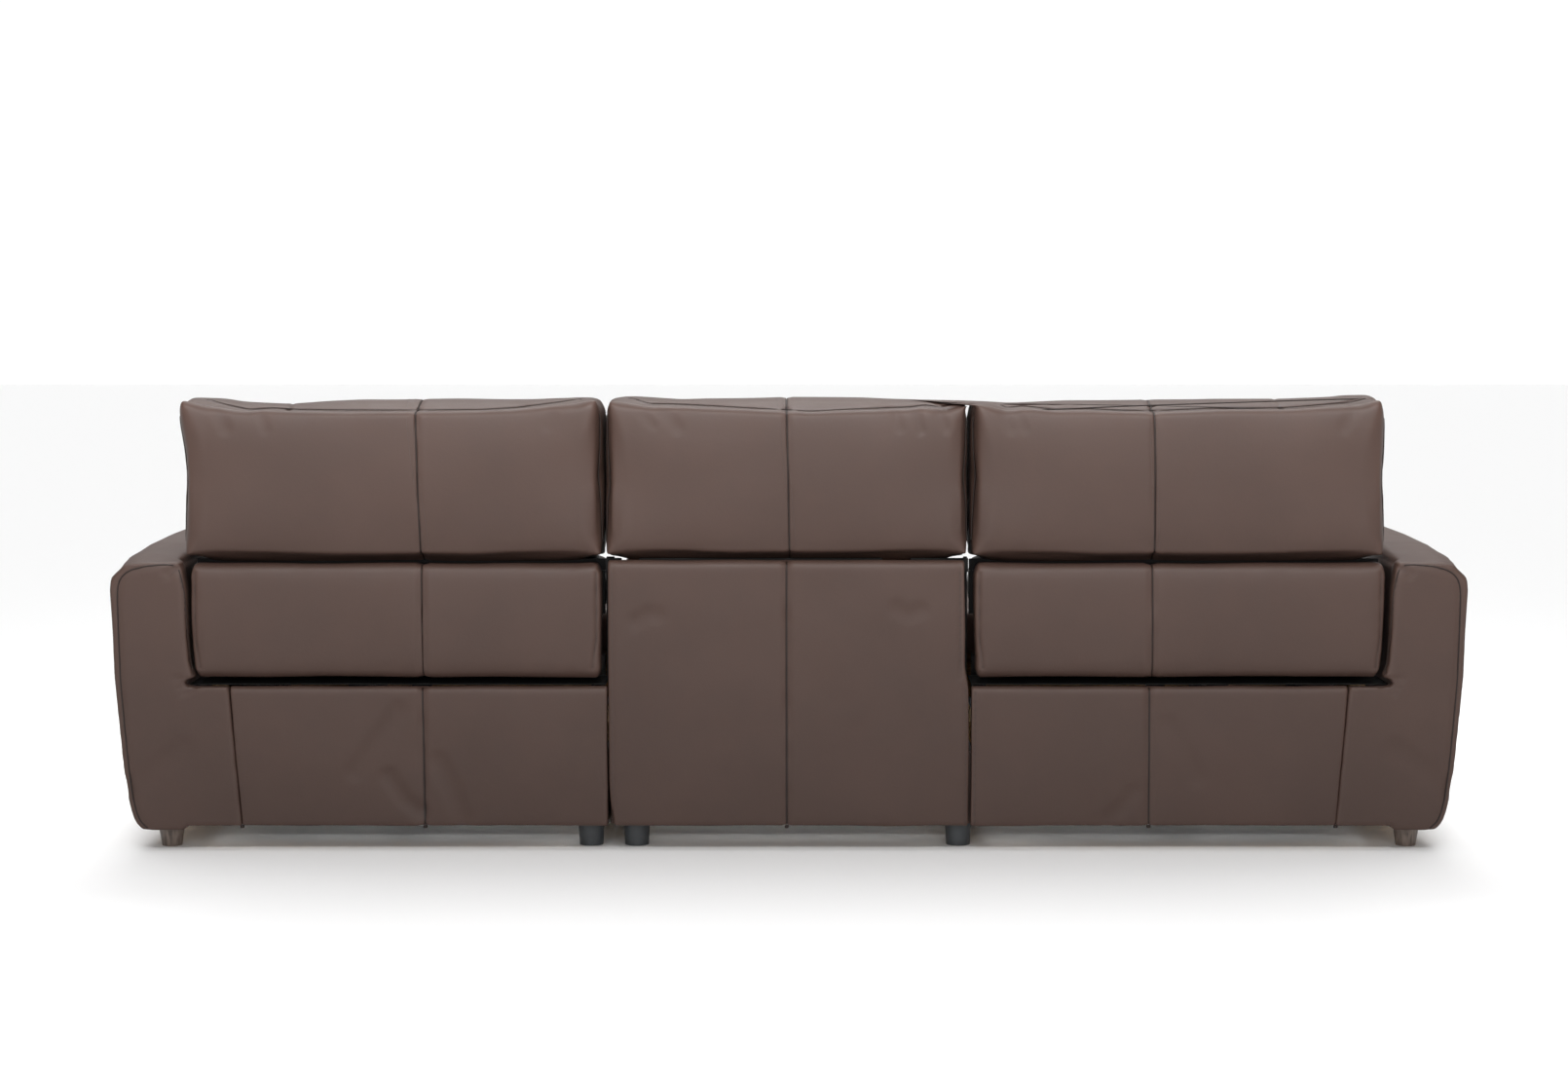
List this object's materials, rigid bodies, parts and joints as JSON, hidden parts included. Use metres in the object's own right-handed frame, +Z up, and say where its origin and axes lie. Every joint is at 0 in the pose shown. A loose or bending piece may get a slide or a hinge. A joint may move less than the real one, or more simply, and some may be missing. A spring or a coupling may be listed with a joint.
{
  "type": "power reclining sofa",
  "caption": "Leather power reclining sofa in joined units: tilting headrests, backs that recline as the seats slide forward, scissor legrests and rocker controls.",
  "frame": {"origin": "middle of the bounding box on the floor", "axes": "+Z up, the sofa faces -Y, +X is the sitter's left"},
  "size_m": [2.7104, 1.02, 0.9084],
  "materials": {
    "leather": "satin",
    "timber": "matte",
    "dark_steel": "satin",
    "bright_steel": "satin",
    "control_metal": "satin",
    "black_plastic": "matte",
    "webbing": "matte",
    "foot_wood": "satin",
    "foot_plastic": "satin"
  },
  "bodies": {
    "base": {"left_arm_cover": "leather", "right_arm_cover": "leather", "arm_frames": "timber", "left_lower_back_panel": "leather", "right_lower_back_panel": "leather", "left_base_frame": "timber", "twin_base_frame": "timber", "unit_side_panels": "leather", "middle_back_panel": "leather", "middle_back_frame": "timber", "middle_back_cushion": "leather", "middle_seat_deck": "timber", "middle_seat_cushion": "leather", "middle_front_panel": "leather", "wooden_feet": "foot_wood", "plastic_feet": "foot_plastic", "unit_connectors": "bright_steel", "power_supplies": "black_plastic", "recline_tracks": "bright_steel", "recline_actuators": "black_plastic", "control_panels": "black_plastic"},
    "middle_headrest": {"middle_headrest_cushion": "leather", "middle_headrest_bracket": "bright_steel"},
    "left_seat": {"left_seat_carriage": "dark_steel", "left_seat_webbing": "webbing", "left_seat_cushion": "leather", "left_legrest_motor": "black_plastic"},
    "left_back": {"left_back_frame": "dark_steel", "left_back_cushion": "leather", "left_back_rear_panel": "leather"},
    "left_headrest": {"left_headrest_bracket": "bright_steel", "left_headrest_cushion": "leather"},
    "left_driven_link": {"left_driven_links": "dark_steel"},
    "left_slotted_link": {"left_slotted_links": "dark_steel"},
    "left_carrier_link": {"left_carrier_links": "dark_steel"},
    "left_steering_link": {"left_steering_links": "dark_steel"},
    "left_legrest": {"left_legrest_board": "timber", "left_legrest_pad": "leather"},
    "left_recline_key": {"left_recline_rocker": "control_metal"},
    "left_legrest_key": {"left_legrest_rocker": "control_metal"},
    "left_headrest_key": {"left_headrest_rocker": "control_metal"},
    "right_seat": {"right_seat_carriage": "dark_steel", "right_seat_webbing": "webbing", "right_seat_cushion": "leather", "right_legrest_motor": "black_plastic"},
    "right_back": {"right_back_frame": "dark_steel", "right_back_cushion": "leather", "right_back_rear_panel": "leather"},
    "right_headrest": {"right_headrest_bracket": "bright_steel", "right_headrest_cushion": "leather"},
    "right_driven_link": {"right_driven_links": "dark_steel"},
    "right_slotted_link": {"right_slotted_links": "dark_steel"},
    "right_carrier_link": {"right_carrier_links": "dark_steel"},
    "right_steering_link": {"right_steering_links": "dark_steel"},
    "right_legrest": {"right_legrest_board": "timber", "right_legrest_pad": "leather"},
    "right_recline_key": {"right_recline_rocker": "control_metal"},
    "right_legrest_key": {"right_legrest_rocker": "control_metal"},
    "right_headrest_key": {"right_headrest_rocker": "control_metal"}
  },
  "joints": [
    {"name": "left_recline_slide", "type": "slide", "parent": "base", "child": "left_seat", "axis": [0, -1, 0], "range_m": [0, 0.182]},
    {"name": "left_back_recline", "type": "hinge", "parent": "left_seat", "child": "left_back", "pos_m": [0.7855, 0.15, 0.4], "axis": [-1, 0, 0], "range_deg": [0, 26.1]},
    {"name": "left_headrest_tilt", "type": "hinge", "parent": "left_back", "child": "left_headrest", "pos_m": [0.7855, 0.15, 0.6], "axis": [1, 0, 0], "range_deg": [0, 25]},
    {"name": "left_legrest_drive", "type": "hinge", "parent": "left_seat", "child": "left_driven_link", "pos_m": [0.7855, -0.28071, 0.285], "axis": [-1, 0, 0], "range_deg": [0, 60]},
    {"name": "left_slotted_link_pivot", "type": "hinge", "parent": "left_driven_link", "child": "left_slotted_link", "pos_m": [0.7855, -0.30853, 0.18116], "axis": [-1, 0, 0], "range_deg": [-120, 0]},
    {"name": "left_carrier_link_pivot", "type": "hinge", "parent": "left_driven_link", "child": "left_carrier_link", "pos_m": [0.7855, -0.33635, 0.07733], "axis": [-1, 0, 0], "range_deg": [-120, 0]},
    {"name": "left_steering_link_pivot", "type": "hinge", "parent": "left_carrier_link", "child": "left_steering_link", "pos_m": [0.7855, -0.36418, 0.18116], "axis": [-1, 0, 0], "range_deg": [0, 120]},
    {"name": "left_legrest_pivot", "type": "hinge", "parent": "left_carrier_link", "child": "left_legrest", "pos_m": [0.7855, -0.392, 0.285], "axis": [-1, 0, 0], "range_deg": [0, 150]},
    {"name": "left_recline_key_tilt", "type": "hinge", "parent": "base", "child": "left_recline_key", "pos_m": [1.2115, -0.305, 0.512], "axis": [0, 1, 0], "range_deg": [-6, 6], "stiffness_Nm_per_rad": 0.08},
    {"name": "left_legrest_key_tilt", "type": "hinge", "parent": "base", "child": "left_legrest_key", "pos_m": [1.2115, -0.27, 0.512], "axis": [0, 1, 0], "range_deg": [-6, 6], "stiffness_Nm_per_rad": 0.08},
    {"name": "left_headrest_key_tilt", "type": "hinge", "parent": "base", "child": "left_headrest_key", "pos_m": [1.2115, -0.235, 0.512], "axis": [0, 1, 0], "range_deg": [-6, 6], "stiffness_Nm_per_rad": 0.08},
    {"name": "right_recline_slide", "type": "slide", "parent": "base", "child": "right_seat", "axis": [0, -1, 0], "range_m": [0, 0.182]},
    {"name": "right_back_recline", "type": "hinge", "parent": "right_seat", "child": "right_back", "pos_m": [-0.7855, 0.15, 0.4], "axis": [-1, 0, 0], "range_deg": [0, 26.1]},
    {"name": "right_headrest_tilt", "type": "hinge", "parent": "right_back", "child": "right_headrest", "pos_m": [-0.7855, 0.15, 0.6], "axis": [1, 0, 0], "range_deg": [0, 25]},
    {"name": "right_legrest_drive", "type": "hinge", "parent": "right_seat", "child": "right_driven_link", "pos_m": [-0.7855, -0.28071, 0.285], "axis": [-1, 0, 0], "range_deg": [0, 60]},
    {"name": "right_slotted_link_pivot", "type": "hinge", "parent": "right_driven_link", "child": "right_slotted_link", "pos_m": [-0.7855, -0.30853, 0.18116], "axis": [-1, 0, 0], "range_deg": [-120, 0]},
    {"name": "right_carrier_link_pivot", "type": "hinge", "parent": "right_driven_link", "child": "right_carrier_link", "pos_m": [-0.7855, -0.33635, 0.07733], "axis": [-1, 0, 0], "range_deg": [-120, 0]},
    {"name": "right_steering_link_pivot", "type": "hinge", "parent": "right_carrier_link", "child": "right_steering_link", "pos_m": [-0.7855, -0.36418, 0.18116], "axis": [-1, 0, 0], "range_deg": [0, 120]},
    {"name": "right_legrest_pivot", "type": "hinge", "parent": "right_carrier_link", "child": "right_legrest", "pos_m": [-0.7855, -0.392, 0.285], "axis": [-1, 0, 0], "range_deg": [0, 150]},
    {"name": "right_recline_key_tilt", "type": "hinge", "parent": "base", "child": "right_recline_key", "pos_m": [-1.2115, -0.305, 0.512], "axis": [0, 1, 0], "range_deg": [-6, 6], "stiffness_Nm_per_rad": 0.08},
    {"name": "right_legrest_key_tilt", "type": "hinge", "parent": "base", "child": "right_legrest_key", "pos_m": [-1.2115, -0.27, 0.512], "axis": [0, 1, 0], "range_deg": [-6, 6], "stiffness_Nm_per_rad": 0.08},
    {"name": "right_headrest_key_tilt", "type": "hinge", "parent": "base", "child": "right_headrest_key", "pos_m": [-1.2115, -0.235, 0.512], "axis": [0, 1, 0], "range_deg": [-6, 6], "stiffness_Nm_per_rad": 0.08},
    {"name": "middle_headrest_tilt", "type": "hinge", "parent": "base", "child": "middle_headrest", "pos_m": [0, 0.15, 0.6], "axis": [1, 0, 0], "range_deg": [0, 25]}
  ],
  "couplings": [
    {"joint": "left_back_recline", "follows": "left_recline_slide", "rad_per_m": 2.5},
    {"joint": "left_slotted_link_pivot", "follows": "left_legrest_drive", "ratio": -2},
    {"joint": "left_carrier_link_pivot", "follows": "left_legrest_drive", "ratio": -2},
    {"joint": "left_steering_link_pivot", "follows": "left_legrest_drive", "ratio": 2},
    {"joint": "left_legrest_pivot", "follows": "left_legrest_drive", "ratio": 2.5},
    {"joint": "right_back_recline", "follows": "right_recline_slide", "rad_per_m": 2.5},
    {"joint": "right_slotted_link_pivot", "follows": "right_legrest_drive", "ratio": -2},
    {"joint": "right_carrier_link_pivot", "follows": "right_legrest_drive", "ratio": -2},
    {"joint": "right_steering_link_pivot", "follows": "right_legrest_drive", "ratio": 2},
    {"joint": "right_legrest_pivot", "follows": "right_legrest_drive", "ratio": 2.5}
  ]
}
